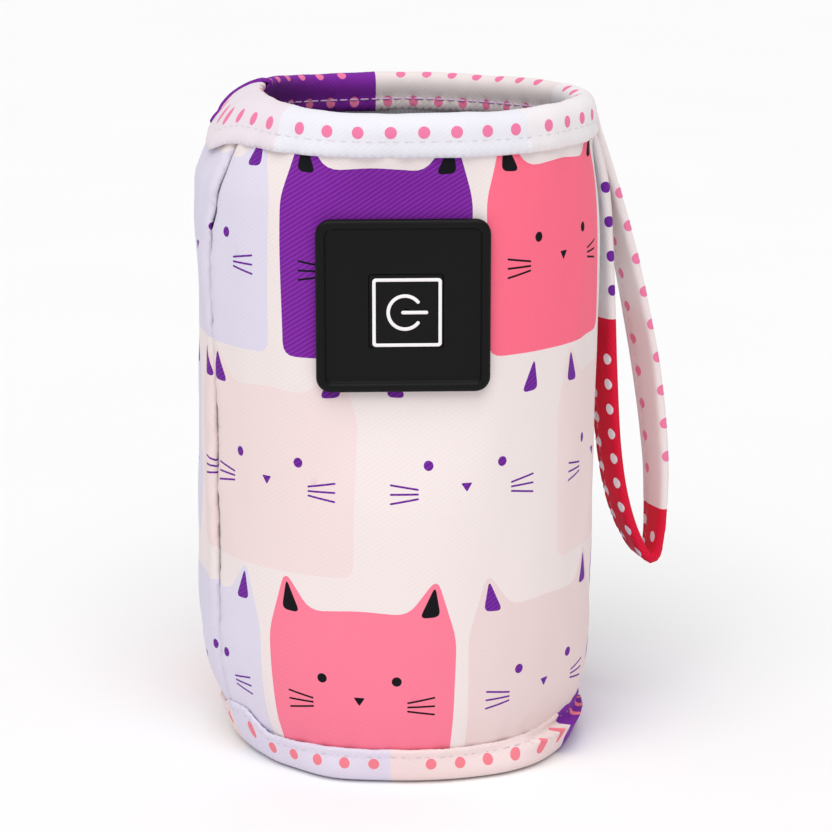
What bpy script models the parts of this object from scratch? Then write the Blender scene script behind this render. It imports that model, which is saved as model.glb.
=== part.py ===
"""Portable heated sleeve for a baby bottle: insulated cloth wall, silicone power button, wrist strap.

Metres, +Z up, the control faces -Y, the origin is the centre of the flat resting face.
Places on the wall are given as an angle from the front (towards +X), a height, and a depth
below the outer cloth's surface, so that every layer follows the same wall.
"""

import math

import bmesh
import bpy
from mathutils import Vector

MM = 0.001

# The sleeve's wall. Each knot is height, outer radius, how flat the front is, how far the left leans in.
KNOTS = (
    (0.0, 39.6, 0.0, 0.0),
    (4.0, 40.6, 0.0, 0.0),
    (8.0, 41.9, 0.0, 0.0),
    (14.0, 43.5, 0.0, 0.0),
    (24.0, 44.6, 0.0, 0.0),
    (45.0, 45.1, 0.0, 0.0),
    (62.0, 45.1, 0.1, 0.0),
    (84.0, 45.1, 1.0, 0.0),
    (131.0, 44.8, 1.0, 0.04),
    (139.0, 44.0, 0.4, 0.3),
    (145.0, 43.4, 0.0, 0.63),
    (149.0, 43.2, 0.0, 1.0),
)
FLAT = 41.0          # distance of the flattened front from the axis
SOFTEN = 0.8         # how gently the flat turns into the round
LEAN = 12.0          # how far the left of the rim leans in
RISE = 1.5           # how much higher the left of the rim is
TUCK = 1.2           # how far the left of the bottom edge is tucked in

# The layers, from the outside in, as depths below the outer surface.
CLOTH = 1.0
GAP = 0.3
FOAM = (1.3, 4.9)
WIRE = (5.5, 0.3)    # depth of its centre, radius
CARRIER = (6.1, 6.5)
LINING = (6.8, 7.6)
RIM_LINING = (3.0, 3.8)
WALL_TOP = 146.6
SIDE_SEAM = math.radians(-66)
SEAM_TURN = math.radians(8)
BACK_SEAM = math.radians(114)
SEAM_GAP = math.radians(0.4)

# The control: a silicone cover over a tray with the board, in a window of the front.
PAD_Z = 107.5
PAD_HALF = 18.5
BUTTON_X = 0.6
BUTTON_Z = 106.5
WINDOW_HALF = 7.9
BUTTON_TRAVEL = 0.5
TRAY_HALF = 16.2
BOARD_HALF = 14.7

# The heating wire's runs, up and down the carrier.
RUNS = 16
RUN_ANGLE = math.radians(152)
RUN_LOW = 22.0
RUN_HIGH = 78.0
RETURN_Z = 84.0

# The wrist strap: a folded tape, 10 mm wide, hanging from the rim.
STRAP_ANGLE = math.radians(102.6)
STRAP_HALF = 5.0
STRAP_THICK = 2.0
STRAP_PIVOT = (46.0, 135.0)
# The tape's middle line, down beside the wall, round the fold and back up: distance out, height.
STRAP_LINE = (
    (48.0, 122.0),
    (48.6, 112.0),
    (48.9, 104.0),
    (49.2, 94.0),
    (49.5, 84.0),
    (50.3, 73.0),
    (51.4, 63.0),
    (53.0, 53.5),
    (55.1, 46.0),
    (57.6, 40.4),
    (59.8, 37.0),
    (61.4, 36.0),
    (62.5, 37.5),
    (63.1, 42.0),
    (63.3, 48.0),
    (63.2, 57.0),
    (62.6, 64.0),
    (61.6, 73.0),
    (59.9, 85.0),
    (57.4, 97.5),
    (54.7, 109.0),
    (51.4, 119.6),
)

CABLE_Z = 16.0


def material(name, colour, roughness, metallic=0.0):
    mat = bpy.data.materials.new(name)
    mat.use_nodes = True
    shader = mat.node_tree.nodes["Principled BSDF"]
    shader.inputs["Base Color"].default_value = (*colour, 1.0)
    shader.inputs["Roughness"].default_value = roughness
    shader.inputs["Metallic"].default_value = metallic
    return mat


def add_mesh(name, points, faces, mat, smooth=True):
    """Makes one object from points in millimetres, its faces turned outwards."""
    mesh = bpy.data.meshes.new(name)
    mesh.from_pydata([Vector(p) * MM for p in points], [], faces)
    bm = bmesh.new()
    bm.from_mesh(mesh)
    bmesh.ops.recalc_face_normals(bm, faces=bm.faces)
    if bm.calc_volume(signed=True) < 0:
        bmesh.ops.reverse_faces(bm, faces=bm.faces)
    bm.to_mesh(mesh)
    bm.free()
    obj = bpy.data.objects.new(name, mesh)
    bpy.context.scene.collection.objects.link(obj)
    mesh.materials.append(mat)
    finish_shading(obj, smooth)
    return obj


def finish_shading(obj, smooth):
    mesh = obj.data
    for face in mesh.polygons:
        face.use_smooth = smooth
    if smooth:
        mesh.set_sharp_from_angle(angle=math.radians(35))


def combine(obj, cutters, operation="DIFFERENCE", smooth=True):
    """Cuts the cutters out of the object, or joins them to it, and removes them."""
    for cutter in cutters:
        step = obj.modifiers.new("combine", "BOOLEAN")
        step.operation = operation
        step.solver = "EXACT"
        step.object = cutter
    result = obj.evaluated_get(bpy.context.evaluated_depsgraph_get())
    mesh = bpy.data.meshes.new_from_object(result)
    obj.modifiers.clear()
    old, obj.data = obj.data, mesh
    bpy.data.meshes.remove(old)
    for cutter in cutters:
        bpy.data.objects.remove(cutter)
    bm = bmesh.new()
    bm.from_mesh(mesh)
    bmesh.ops.remove_doubles(bm, verts=bm.verts, dist=0.000001)
    bm.to_mesh(mesh)
    bm.free()
    finish_shading(obj, smooth)
    return obj


# ---------------------------------------------------------------- the wall

def at_height(z):
    """Radius, flatness and lean at a height, straight between the knots."""
    z = min(max(z, KNOTS[0][0]), KNOTS[-1][0])
    for low, high in zip(KNOTS, KNOTS[1:]):
        if z <= high[0]:
            t = (z - low[0]) / (high[0] - low[0])
            return [a + (b - a) * t for a, b in zip(low[1:], high[1:])]
    return list(KNOTS[-1][1:])


def wall_radius(angle, z, depth):
    radius, flatness, lean = at_height(z)
    left = max(0.0, -math.sin(angle)) ** 2
    full = radius - depth
    r = full
    if math.cos(angle) > 0.3 and flatness > 0:
        plane = (FLAT - depth) / math.cos(angle)
        least = 0.5 * (full + plane - math.hypot(full - plane, SOFTEN))
        r = full + flatness * (least - full)
    r -= LEAN * lean * left
    r -= TUCK * left * max(0.0, 1.0 - z / 24.0)
    return r


def wall_point(angle, z, depth):
    left = max(0.0, -math.sin(angle)) ** 2
    r = wall_radius(angle, z, depth)
    up = RISE * left * min(max((z - 118.0) / 30.0, 0.0), 1.0)
    return (r * math.sin(angle), -r * math.cos(angle), z + up)


def strip(z0, z1, outer, inner):
    """A layer's section from one height to another: pairs of (height, depth), outside and inside."""
    heights = [z0] + [k[0] for k in KNOTS if z0 < k[0] < z1] + [z1]
    return [((z, outer), (z, inner)) for z in heights]


def as_angle(value, z):
    return value(z) if callable(value) else value


def shared_angles(start, end):
    """The angles at which every layer has its edges, between two angles, so that layers stay parallel."""
    found = set()
    for turn in (-360, 0, 360):
        for degree in [*(7.5 * i for i in range(-24, 24)), -26.25, -18.75, 18.75, 26.25]:
            angle = math.radians(degree + turn)
            if start + 0.004 < angle < end - 0.004:
                found.add(angle)
    return sorted(found)


def around(name, section, start, end, mat, smooth=True):
    """Sweeps a section round the wall: a closed ring, or a piece from one angle to another.

    start and end are angles, or functions of the height; with start None the ring is closed.
    """
    closed = start is None
    if closed:
        stations = [None, *shared_angles(-math.pi, math.pi)]
        start, end = -math.pi, math.pi
    else:
        heights = [z for pair in section for z, _ in pair]
        first = max(as_angle(start, z) for z in heights)
        last = min(as_angle(end, z) for z in heights)
        stations = [None, *shared_angles(first, last), None]
    points = []
    width = 2 * len(section)
    for i, station in enumerate(stations):
        for pair in section:
            for z, depth in pair:
                angle = station if station is not None else as_angle(end if i else start, z)
                points.append(wall_point(angle, z, depth))
    faces = []
    for i in range(len(stations) if closed else len(stations) - 1):
        a, b = i * width, ((i + 1) % len(stations)) * width
        for k in range(len(section) - 1):
            o, n = 2 * k, 2 * k + 2
            faces.append((a + o, b + o, b + n, a + n))
            faces.append((a + o + 1, a + n + 1, b + n + 1, b + o + 1))
        for k in (0, width - 2):
            faces.append((a + k, a + k + 1, b + k + 1, b + k))
    if not closed:
        for base in (0, (len(stations) - 1) * width):
            for k in range(len(section) - 1):
                o, n = base + 2 * k, base + 2 * k + 2
                faces.append((o, o + 1, n + 1, n))
    return add_mesh(name, points, faces, mat, smooth)


def side_seam(z):
    """The angle of the left seam, which turns forward towards the rim."""
    t = min(max((z - 112.0) / 34.0, 0.0), 1.0)
    return SIDE_SEAM + SEAM_TURN * t * t * (3 - 2 * t)


def disc(name, rings, mat):
    """A flat layer of the base: rings of (height, depth), from the lower middle to the upper one."""
    points = []
    angles = [-math.pi, *shared_angles(-math.pi, math.pi)]
    count = len(angles)
    for z, depth in rings:
        for angle in angles:
            x, y, _ = wall_point(angle, z, depth)
            points.append((x, y, z))
    faces = []
    for k in range(len(rings) - 1):
        for i in range(count):
            j = (i + 1) % count
            a, b = k * count, (k + 1) * count
            faces.append((a + i, a + j, b + j, b + i))
    top = (len(rings) - 1) * count
    faces.append(tuple(range(count)))
    faces.append(tuple(top + i for i in range(count)))
    return add_mesh(name, points, faces, mat)


# ---------------------------------------------------------------- other shapes

def rounded_square(cx, cz, half, corner, y, steps=4):
    points = []
    for turn in range(4):
        middle = math.radians(45 + 90 * turn)
        sx = 1 if math.cos(middle) > 0 else -1
        sz = 1 if math.sin(middle) > 0 else -1
        ox, oz = cx + sx * (half - corner), cz + sz * (half - corner)
        for i in range(steps + 1):
            angle = math.radians(90 * turn + 90 * i / steps)
            points.append((ox + corner * math.cos(angle), y, oz + corner * math.sin(angle)))
    return points


def square_rings(name, rings, mat, closed=False):
    """Joins rounded squares (x, z, half width, corner radius, y), as a solid or as a frame."""
    loops = [rounded_square(*ring) for ring in rings]
    size = len(loops[0])
    points = [p for loop in loops for p in loop]
    faces = []
    for k in range(len(loops) if closed else len(loops) - 1):
        a, b = k * size, ((k + 1) % len(loops)) * size
        for i in range(size):
            j = (i + 1) % size
            faces.append((a + i, a + j, b + j, b + i))
    if not closed:
        last = (len(loops) - 1) * size
        faces.append(tuple(range(size)))
        faces.append(tuple(last + i for i in range(size)))
    return add_mesh(name, points, faces, mat)


def box(name, low, high, mat):
    (x0, y0, z0), (x1, y1, z1) = low, high
    points = [(x, y, z) for x in (x0, x1) for y in (y0, y1) for z in (z0, z1)]
    faces = [(0, 1, 3, 2), (4, 6, 7, 5), (0, 4, 5, 1), (2, 3, 7, 6), (0, 2, 6, 4), (1, 5, 7, 3)]
    return add_mesh(name, points, faces, mat, smooth=False)


def chipped_box(name, low, high, edge, mat):
    """A box with its front edges broken, for a moulded component on the board."""
    (x0, y0, z0), (x1, y1, z1) = low, high
    outline = [(x0, z0), (x1, z0), (x1, z1), (x0, z1)]
    inset = [(x0 + edge, z0 + edge), (x1 - edge, z0 + edge), (x1 - edge, z1 - edge), (x0 + edge, z1 - edge)]
    points = [(x, y1, z) for x, z in outline]
    points += [(x, y0 + edge, z) for x, z in outline]
    points += [(x, y0, z) for x, z in inset]
    faces = [(0, 1, 2, 3), (8, 9, 10, 11)]
    for k in (0, 4):
        for i in range(4):
            j = (i + 1) % 4
            faces.append((k + i, k + j, k + 4 + j, k + 4 + i))
    return add_mesh(name, points, faces, mat, smooth=False)


def turned(name, centre, axis, profile, mat, sides=24, closed=False):
    """Turns a profile of (radius, distance along the axis) about an axis."""
    axis = Vector(axis).normalized()
    side = axis.cross(Vector((0, 0, 1))).normalized()
    up = side.cross(axis)
    points = []
    for radius, along in profile:
        for i in range(sides):
            a = 2 * math.pi * i / sides
            points.append(Vector(centre) + axis * along + (side * math.cos(a) + up * math.sin(a)) * radius)
    faces = []
    for k in range(len(profile) if closed else len(profile) - 1):
        a, b = k * sides, ((k + 1) % len(profile)) * sides
        for i in range(sides):
            j = (i + 1) % sides
            faces.append((a + i, a + j, b + j, b + i))
    if not closed:
        last = (len(profile) - 1) * sides
        faces.append(tuple(range(sides)))
        faces.append(tuple(last + i for i in range(sides)))
    return add_mesh(name, points, faces, mat)


def tube(name, path, radius, sides, mat):
    """A round lead or wire along a path."""
    path = [Vector(p) for p in path]
    normal = None
    points = []
    for i, here in enumerate(path):
        before = path[max(i - 1, 0)]
        after = path[min(i + 1, len(path) - 1)]
        along = (after - before).normalized()
        if normal is None:
            normal = along.cross(Vector((0.3, 0.2, 1.0))).normalized()
        normal = (normal - along * normal.dot(along)).normalized()
        across = along.cross(normal)
        stretch = 1.0
        if 0 < i < len(path) - 1:
            turn = (here - before).normalized().dot((after - here).normalized())
            stretch = 1.0 / max(0.75, math.sqrt(max(0.0, (1 + turn) / 2)))
        for k in range(sides):
            a = 2 * math.pi * (k + 0.5) / sides
            points.append(here + (normal * math.cos(a) + across * math.sin(a)) * radius * stretch)
    faces = []
    for i in range(len(path) - 1):
        a, b = i * sides, (i + 1) * sides
        for k in range(sides):
            j = (k + 1) % sides
            faces.append((a + k, a + j, b + j, b + k))
    last = (len(path) - 1) * sides
    faces.append(tuple(range(sides)))
    faces.append(tuple(last + k for k in range(sides)))
    return add_mesh(name, points, faces, mat)


def arc_slot(name, radius, width, opening, y0, y1, mat, steps=24):
    """The open ring of the power sign, its gap to the right."""
    points = []
    for i in range(steps + 1):
        a = opening + (2 * math.pi - 2 * opening) * i / steps
        for r in (radius - width / 2, radius + width / 2):
            for y in (y0, y1):
                points.append((BUTTON_X + r * math.cos(a), y, BUTTON_Z + r * math.sin(a)))
    faces = [(0, 1, 3, 2), tuple(4 * steps + k for k in (0, 2, 3, 1))]
    for i in range(steps):
        a, b = 4 * i, 4 * i + 4
        for k, m in ((0, 1), (1, 3), (3, 2), (2, 0)):
            faces.append((a + k, a + m, b + m, b + k))
    return add_mesh(name, points, faces, mat)


# ---------------------------------------------------------------- the pieces

def make_shell(mats):
    """The outer cloth with its bindings, the insulation and the lining."""
    panel = strip(1.3, WALL_TOP, 0.0, CLOTH)
    front = around(
        "outer_front_panel",
        panel,
        lambda z: side_seam(z) + SEAM_GAP,
        BACK_SEAM - SEAM_GAP,
        mats["print"],
    )
    cutter = square_rings(
        "cut", [(0, PAD_Z, 15.8, 2.2, -FLAT - 3), (0, PAD_Z, 15.8, 2.2, -FLAT + 3)], mats["print"]
    )
    combine(front, [cutter])
    back = around(
        "outer_back_panel",
        panel,
        BACK_SEAM + SEAM_GAP,
        lambda z: side_seam(z) + 2 * math.pi - SEAM_GAP,
        mats["print_back"],
    )
    y = wall_radius(math.pi, CABLE_Z, 0.0)
    hole = turned("cut", (0, y, CABLE_Z), (0, 1, 0), [(2.5, -3), (2.5, 3)], mats["print"])
    combine(back, [hole])
    disc(
        "outer_base_panel",
        [(0.0, 9.0), (1.3, 8.4), (1.3, 1.3), (2.3, 1.3), (2.3, 9.0), (1.0, 9.8)],
        mats["print"],
    )
    around(
        "top_binding",
        [
            ((139.8, -1.3), (139.8, -0.3)),
            ((145.0, -1.3), (145.0, -0.3)),
            ((146.9, -1.1), (146.9, -0.3)),
            ((147.8, -0.2), (146.95, 0.7)),
            ((148.0, 1.8), (147.0, 1.8)),
            ((147.8, 3.8), (146.95, 2.9)),
            ((146.9, 4.7), (146.9, 4.1)),
            ((145.0, 4.9), (145.0, 4.1)),
            ((140.0, 4.9), (140.0, 4.1)),
        ],
        None,
        None,
        mats["binding"],
    )
    around(
        "bottom_binding",
        [
            ((8.2, -1.3), (8.2, -0.3)),
            ((4.0, -1.3), (4.0, -0.3)),
            ((1.0, -1.1), (1.0, -0.3)),
            ((0.0, -0.1), (0.95, 0.3)),
            ((0.0, 8.0), (0.9, 8.0)),
        ],
        None,
        None,
        mats["binding"],
    )
    lining = strip(6.5, 131.0, *LINING)
    lining += [((z, RIM_LINING[0]), (z, RIM_LINING[1])) for z in (139.5, 145.0, WALL_TOP)]
    around("lining_wall", lining, None, None, mats["lining"])
    disc("lining_base", [(6.5, 7.9), (7.3, 7.9)], mats["lining"])
    foam = strip(2.6, 131.0, *FOAM) + [((135.0, FOAM[0]), (135.0, 2.9))]
    wall = around("insulation_wall", foam, None, None, mats["foam"])
    degrees = math.radians
    cuts = [
        square_rings("cut", [(0, PAD_Z, 16.5, 2.2, -FLAT - 3), (0, PAD_Z, 16.5, 2.2, -FLAT + 8)], mats["foam"]),
        around("cut", strip(81.0, 92.0, 0.6, 5.4), degrees(-7), degrees(7), mats["foam"]),
        around("cut", strip(13.4, 92.0, 0.6, 4.0), degrees(9.4), degrees(14.6), mats["foam"]),
        around("cut", strip(13.6, 18.4, 0.6, 4.0), degrees(9.4), degrees(184.4), mats["foam"]),
        around("cut", strip(11.6, 20.4, 0.6, 2.6), degrees(174.2), degrees(185.8), mats["foam"]),
        around("cut", strip(35.6, 92.0, 2.9, 5.4), degrees(-14.2), degrees(-9.8), mats["foam"]),
        around("cut", strip(86.5, 92.4, 0.5, 5.7), degrees(-14.6), degrees(-9.4), mats["foam"]),
        around("cut", strip(35.2, 42.0, 2.9, 5.4), degrees(-16.5), degrees(-7.5), mats["foam"]),
    ]
    combine(wall, cuts)
    disc("insulation_base", [(2.6, 5.2), (6.2, 5.2)], mats["foam"])


def make_heater(mats):
    """The heating wire on its carrier, the thermal sensor, and the leads in the wall."""
    around(
        "heater_carrier",
        strip(16.5, 88.0, *CARRIER),
        -RUN_ANGLE - math.radians(6),
        RUN_ANGLE + math.radians(6),
        mats["carrier"],
    )
    depth, radius = WIRE
    path = []

    def along_return(a, b):
        count = round(abs(b - a) / math.radians(6.2))
        path.extend((a + (b - a) * i / count, RETURN_Z) for i in range(count + 1))

    along_return(math.radians(-4.8), -RUN_ANGLE + math.radians(3))
    for run in range(RUNS):
        angle = -RUN_ANGLE + 2 * RUN_ANGLE * run / (RUNS - 1)
        top = RUN_HIGH if 0 < run < RUNS - 1 else RETURN_Z - 3.0
        heights = [top, 62.0, 45.0, 24.0]
        if run % 2:
            heights.reverse()
        path.extend((angle, z) for z in heights)
        if run < RUNS - 1:
            step = 2 * RUN_ANGLE / (RUNS - 1)
            end = RUN_LOW if run % 2 == 0 else RUN_HIGH + 2.0
            path.extend((angle + step * f, end) for f in (0.2, 0.5, 0.8))
    along_return(RUN_ANGLE - math.radians(3), math.radians(4.8))
    tube("heating_wire", [wall_point(a, z, depth) for a, z in path], radius, 4, mats["wire"])
    for name, angle in (("heater_lead_left", -4.8), ("heater_lead_right", 4.8)):
        a = math.radians(angle)
        route = [(84.9, 5.3), (86.8, 5.0), (88.6, 3.4), (90.2, 2.4), (96.0, 2.3)]
        tube(name, [wall_point(a, z, d) for z, d in route], 0.4, 6, mats["lead"])
    a = math.radians(-12)
    around("thermal_sensor", strip(36.0, 41.4, 3.3, 4.8), a - math.radians(3.6), a + math.radians(3.6), mats["sensor"])
    route = [(41.8, 4.3), (45.0, 4.3), (62.0, 4.3), (84.0, 4.3), (88.6, 4.0), (90.4, 2.5), (96.0, 2.3)]
    tube("sensor_lead", [wall_point(a, z, d) for z, d in route], 0.45, 6, mats["lead"])
    turn = [(180 - 6 * i, CABLE_Z) for i in range(28)]
    turn += [(14.5, CABLE_Z + 0.3), (12.6, CABLE_Z + 1.4), (12.0, CABLE_Z + 3.4)]
    turn += [(12.0, z) for z in (24.0, 45.0, 62.0, 84.0, 92.1)]
    tube(
        "supply_lead",
        [wall_point(math.radians(t), z, 2.6) for t, z in turn],
        0.9,
        8,
        mats["cable"],
    )
    y = wall_radius(math.pi, CABLE_Z, 0.0)
    turned(
        "lead_grommet",
        (0, y, CABLE_Z),
        (0, 1, 0),
        [(1.3, -1.2), (1.3, 1.9), (1.9, 1.9), (3.6, 1.3), (3.6, 0.8), (2.2, 0.8), (2.2, -1.2)],
        mats["rubber"],
        closed=True,
    )


def make_control(mats):
    """The silicone cover, the tray behind it and the board with its parts."""
    y = -FLAT
    square_rings(
        "silicone_cover",
        [
            (0, PAD_Z, PAD_HALF, 3.2, y - 0.3),
            (0, PAD_Z, PAD_HALF, 3.2, y - 1.6),
            (0, PAD_Z, PAD_HALF - 0.3, 2.9, y - 2.1),
            (0, PAD_Z, PAD_HALF - 0.9, 2.4, y - 2.3),
            (0, PAD_Z, PAD_HALF - 1.6, 1.8, y - 2.1),
            (0, PAD_Z, PAD_HALF - 2.0, 1.6, y - 1.7),
            (BUTTON_X, BUTTON_Z, WINDOW_HALF, 0.9, y - 1.7),
            (BUTTON_X, BUTTON_Z, WINDOW_HALF, 0.9, y - 0.5),
            (0, PAD_Z, 13.0, 1.5, y - 0.5),
            (0, PAD_Z, 13.0, 1.5, y + 0.95),
            (0, PAD_Z, 15.4, 2.0, y + 0.95),
            (0, PAD_Z, 15.4, 2.0, y - 0.3),
        ],
        mats["silicone"],
        closed=True,
    )
    tray = square_rings(
        "control_housing",
        [
            (0, PAD_Z, TRAY_HALF, 2.0, y + 4.9),
            (0, PAD_Z, TRAY_HALF, 2.0, y + 1.75),
            (0, PAD_Z, 15.1, 1.2, y + 1.75),
            (0, PAD_Z, 15.1, 1.2, y + 4.4),
        ],
        mats["housing"],
    )
    low = PAD_Z - TRAY_HALF - 1
    notches = [
        box("cut", (-4.3, y + 1.6, low), (-2.5, y + 3.0, low + 3), mats["housing"]),
        box("cut", (2.5, y + 1.6, low), (4.3, y + 3.0, low + 3), mats["housing"]),
        box("cut", (-9.3, y + 1.5, low), (-7.1, y + 3.1, low + 3), mats["housing"]),
        box("cut", (6.9, y + 1.4, low), (9.5, y + 3.9, low + 3), mats["housing"]),
    ]
    combine(tray, notches, smooth=True)
    square_rings(
        "circuit_board",
        [(0, PAD_Z, BOARD_HALF, 1.0, y + 4.1), (0, PAD_Z, BOARD_HALF, 1.0, y + 3.1)],
        mats["board"],
    )
    front = y + 2.9
    switch = chipped_box(
        "switch_body",
        (BUTTON_X - 2.1, front - 1.2, BUTTON_Z - 2.1),
        (BUTTON_X + 2.1, front, BUTTON_Z + 2.1),
        0.2,
        mats["metal"],
    )
    recess = turned(
        "cut", (BUTTON_X, front - 1.2, BUTTON_Z), (0, 1, 0), [(1.3, -1), (1.3, 0.9)], mats["metal"], sides=16
    )
    combine(switch, [recess], smooth=True)
    turned(
        "switch_plunger",
        (BUTTON_X, y + 0.7, BUTTON_Z),
        (0, 1, 0),
        [(0.8, 0.0), (1.0, 0.2), (1.0, 1.05)],
        mats["plunger"],
        sides=16,
    )
    for name, dx, dz in (
        ("led_top", 0, 5.6),
        ("led_bottom", 0, -5.6),
        ("led_left", -5.6, 0),
        ("led_right", 5.6, 0),
    ):
        w, h = (0.8, 0.4) if dx == 0 else (0.4, 0.8)
        x, z = BUTTON_X + dx, BUTTON_Z + dz
        chipped_box(name, (x - w, front - 0.7, z - h), (x + w, front, z + h), 0.1, mats["led"])
    chipped_box("controller_chip", (-12.5, front - 1.1, 99.0), (-8.5, front, 104.0), 0.15, mats["chip"])
    chipped_box("power_mosfet", (8.6, front - 1.0, 96.5), (12.6, front, 101.5), 0.15, mats["chip"])


def make_button(mats):
    """The pressed part of the cover: a black face and the clear light guide behind and through it."""
    y = -FLAT
    guide = square_rings(
        "button_light_guide",
        [
            (BUTTON_X, BUTTON_Z, 8.6, 1.0, y + 0.4),
            (BUTTON_X, BUTTON_Z, 8.6, 1.0, y - 0.2),
            (BUTTON_X, BUTTON_Z, 7.45, 0.7, y - 0.2),
            (BUTTON_X, BUTTON_Z, 7.45, 0.7, y - 1.75),
            (BUTTON_X, BUTTON_Z, 6.6, 0.3, y - 1.75),
            (BUTTON_X, BUTTON_Z, 6.6, 0.3, y - 0.2),
        ],
        mats["guide"],
    )
    ribs = [
        arc_slot("rib", 3.7, 0.85, math.radians(38), y - 1.75, y + 0.1, mats["guide"]),
        box("rib", (BUTTON_X - 0.8, y - 1.75, BUTTON_Z - 0.45), (BUTTON_X + 5.1, y + 0.1, BUTTON_Z + 0.45), mats["guide"]),
    ]
    combine(guide, ribs, "UNION")
    face = square_rings(
        "button_face",
        [(BUTTON_X, BUTTON_Z, 6.3, 0.3, y - 0.5), (BUTTON_X, BUTTON_Z, 6.3, 0.3, y - 1.7)],
        mats["silicone"],
    )
    slots = [
        arc_slot("cut", 3.7, 1.45, math.radians(32), y - 3, y + 1, mats["silicone"]),
        box("cut", (BUTTON_X - 1.1, y - 3, BUTTON_Z - 0.75), (BUTTON_X + 5.4, y + 1, BUTTON_Z + 0.75), mats["silicone"]),
    ]
    combine(face, slots)


def make_strap(mats):
    """The folded tape: a sewn-in tab, and the loop that swings from it."""
    half = STRAP_HALF / wall_radius(STRAP_ANGLE, 138.0, 0.0)
    around(
        "strap_tab",
        [((137.3, -2.2), (137.3, -0.3)), ((139.5, -2.2), (139.5, -0.3))],
        STRAP_ANGLE - half,
        STRAP_ANGLE + half,
        mats["strap"],
    )
    outer, inner = [], []
    for i, (u, z) in enumerate(STRAP_LINE):
        before, after = STRAP_LINE[max(i - 1, 0)], STRAP_LINE[min(i + 1, len(STRAP_LINE) - 1)]
        run = math.hypot(after[0] - before[0], after[1] - before[1])
        nu, nz = (after[1] - before[1]) / run, (before[0] - after[0]) / run
        outer.append((u + nu * STRAP_THICK / 2, z + nz * STRAP_THICK / 2))
        inner.append((u - nu * STRAP_THICK / 2, z - nz * STRAP_THICK / 2))
    pu, pz = STRAP_PIVOT
    for degrees in (20, 55, 90, 125, 160):
        a = math.radians(degrees)
        outer.append((pu + math.cos(a) * 1.0, pz + math.sin(a) * 1.2))
    bm = bmesh.new()
    out = Vector((math.sin(STRAP_ANGLE), -math.cos(STRAP_ANGLE), 0))
    across = Vector((math.cos(STRAP_ANGLE), math.sin(STRAP_ANGLE), 0))
    edges = []
    for outline in (outer, inner):
        ring = [
            bm.verts.new((out * u - across * STRAP_HALF + Vector((0, 0, z))) * MM) for u, z in outline
        ]
        edges += [bm.edges.new((ring[i - 1], ring[i])) for i in range(len(ring))]
    bmesh.ops.triangle_fill(bm, edges=edges, use_beauty=True)
    side = bmesh.ops.extrude_face_region(bm, geom=bm.faces[:])
    moved = [v for v in side["geom"] if isinstance(v, bmesh.types.BMVert)]
    bmesh.ops.translate(bm, verts=moved, vec=across * 2 * STRAP_HALF * MM)
    bmesh.ops.recalc_face_normals(bm, faces=bm.faces)
    mesh = bpy.data.meshes.new("strap_loop")
    bm.to_mesh(mesh)
    bm.free()
    obj = bpy.data.objects.new("strap_loop", mesh)
    bpy.context.scene.collection.objects.link(obj)
    mesh.materials.append(mats["strap"])
    finish_shading(obj, True)


def set_origin(name, place):
    """Moves a moving piece's origin onto its joint axis."""
    obj = bpy.data.objects[name]
    place = Vector(place) * MM
    for vertex in obj.data.vertices:
        vertex.co -= place
    obj.location = place


def main():
    for obj in list(bpy.data.objects):
        bpy.data.objects.remove(obj)
    mats = {
        "print": material("printed_cloth", (0.55, 0.30, 0.55), 0.85),
        "print_back": material("printed_cloth_back", (0.42, 0.22, 0.52), 0.85),
        "binding": material("binding_tape", (0.80, 0.62, 0.72), 0.85),
        "lining": material("lining_cloth", (0.45, 0.45, 0.48), 0.9),
        "foam": material("insulation_foam", (0.85, 0.85, 0.82), 0.95),
        "carrier": material("heater_cloth", (0.88, 0.86, 0.80), 0.9),
        "wire": material("heating_wire_sheath", (0.75, 0.18, 0.12), 0.5),
        "lead": material("lead_sheath", (0.85, 0.85, 0.85), 0.5),
        "sensor": material("sensor_epoxy", (0.08, 0.08, 0.09), 0.4),
        "cable": material("supply_sheath", (0.05, 0.05, 0.05), 0.55),
        "rubber": material("grommet_rubber", (0.04, 0.04, 0.04), 0.7),
        "silicone": material("black_silicone", (0.012, 0.012, 0.013), 0.5),
        "guide": material("white_light_guide", (0.86, 0.84, 0.87), 0.4),
        "housing": material("black_plastic", (0.03, 0.03, 0.03), 0.45),
        "board": material("board_laminate", (0.02, 0.22, 0.08), 0.45),
        "metal": material("switch_steel", (0.62, 0.62, 0.60), 0.35, 1.0),
        "plunger": material("switch_plastic", (0.10, 0.10, 0.10), 0.4),
        "led": material("led_resin", (0.90, 0.85, 0.55), 0.3),
        "chip": material("chip_resin", (0.02, 0.02, 0.02), 0.4),
        "strap": material("strap_cloth", (0.78, 0.20, 0.30), 0.85),
    }
    make_shell(mats)
    make_heater(mats)
    make_control(mats)
    make_button(mats)
    make_strap(mats)
    button = (BUTTON_X, -FLAT - 1.7, BUTTON_Z)
    set_origin("button_face", button)
    set_origin("button_light_guide", button)
    set_origin("switch_plunger", (BUTTON_X, -FLAT + 0.7, BUTTON_Z))
    u, z = STRAP_PIVOT
    set_origin("strap_loop", (u * math.sin(STRAP_ANGLE), -u * math.cos(STRAP_ANGLE), z))


main()
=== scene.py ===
"""Visual model of the heated bottle sleeve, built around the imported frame.

Metres, +Z up, the control faces -Y. Places on the wall are given in millimetres as s, the way
round from the front towards +X measured at a radius of 45 mm, z, the height, and a depth below
the outer cloth's surface.
"""

import contextlib
import math

import bmesh
import bpy
import numpy as np
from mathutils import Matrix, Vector
from mathutils.geometry import delaunay_2d_cdt


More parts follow.
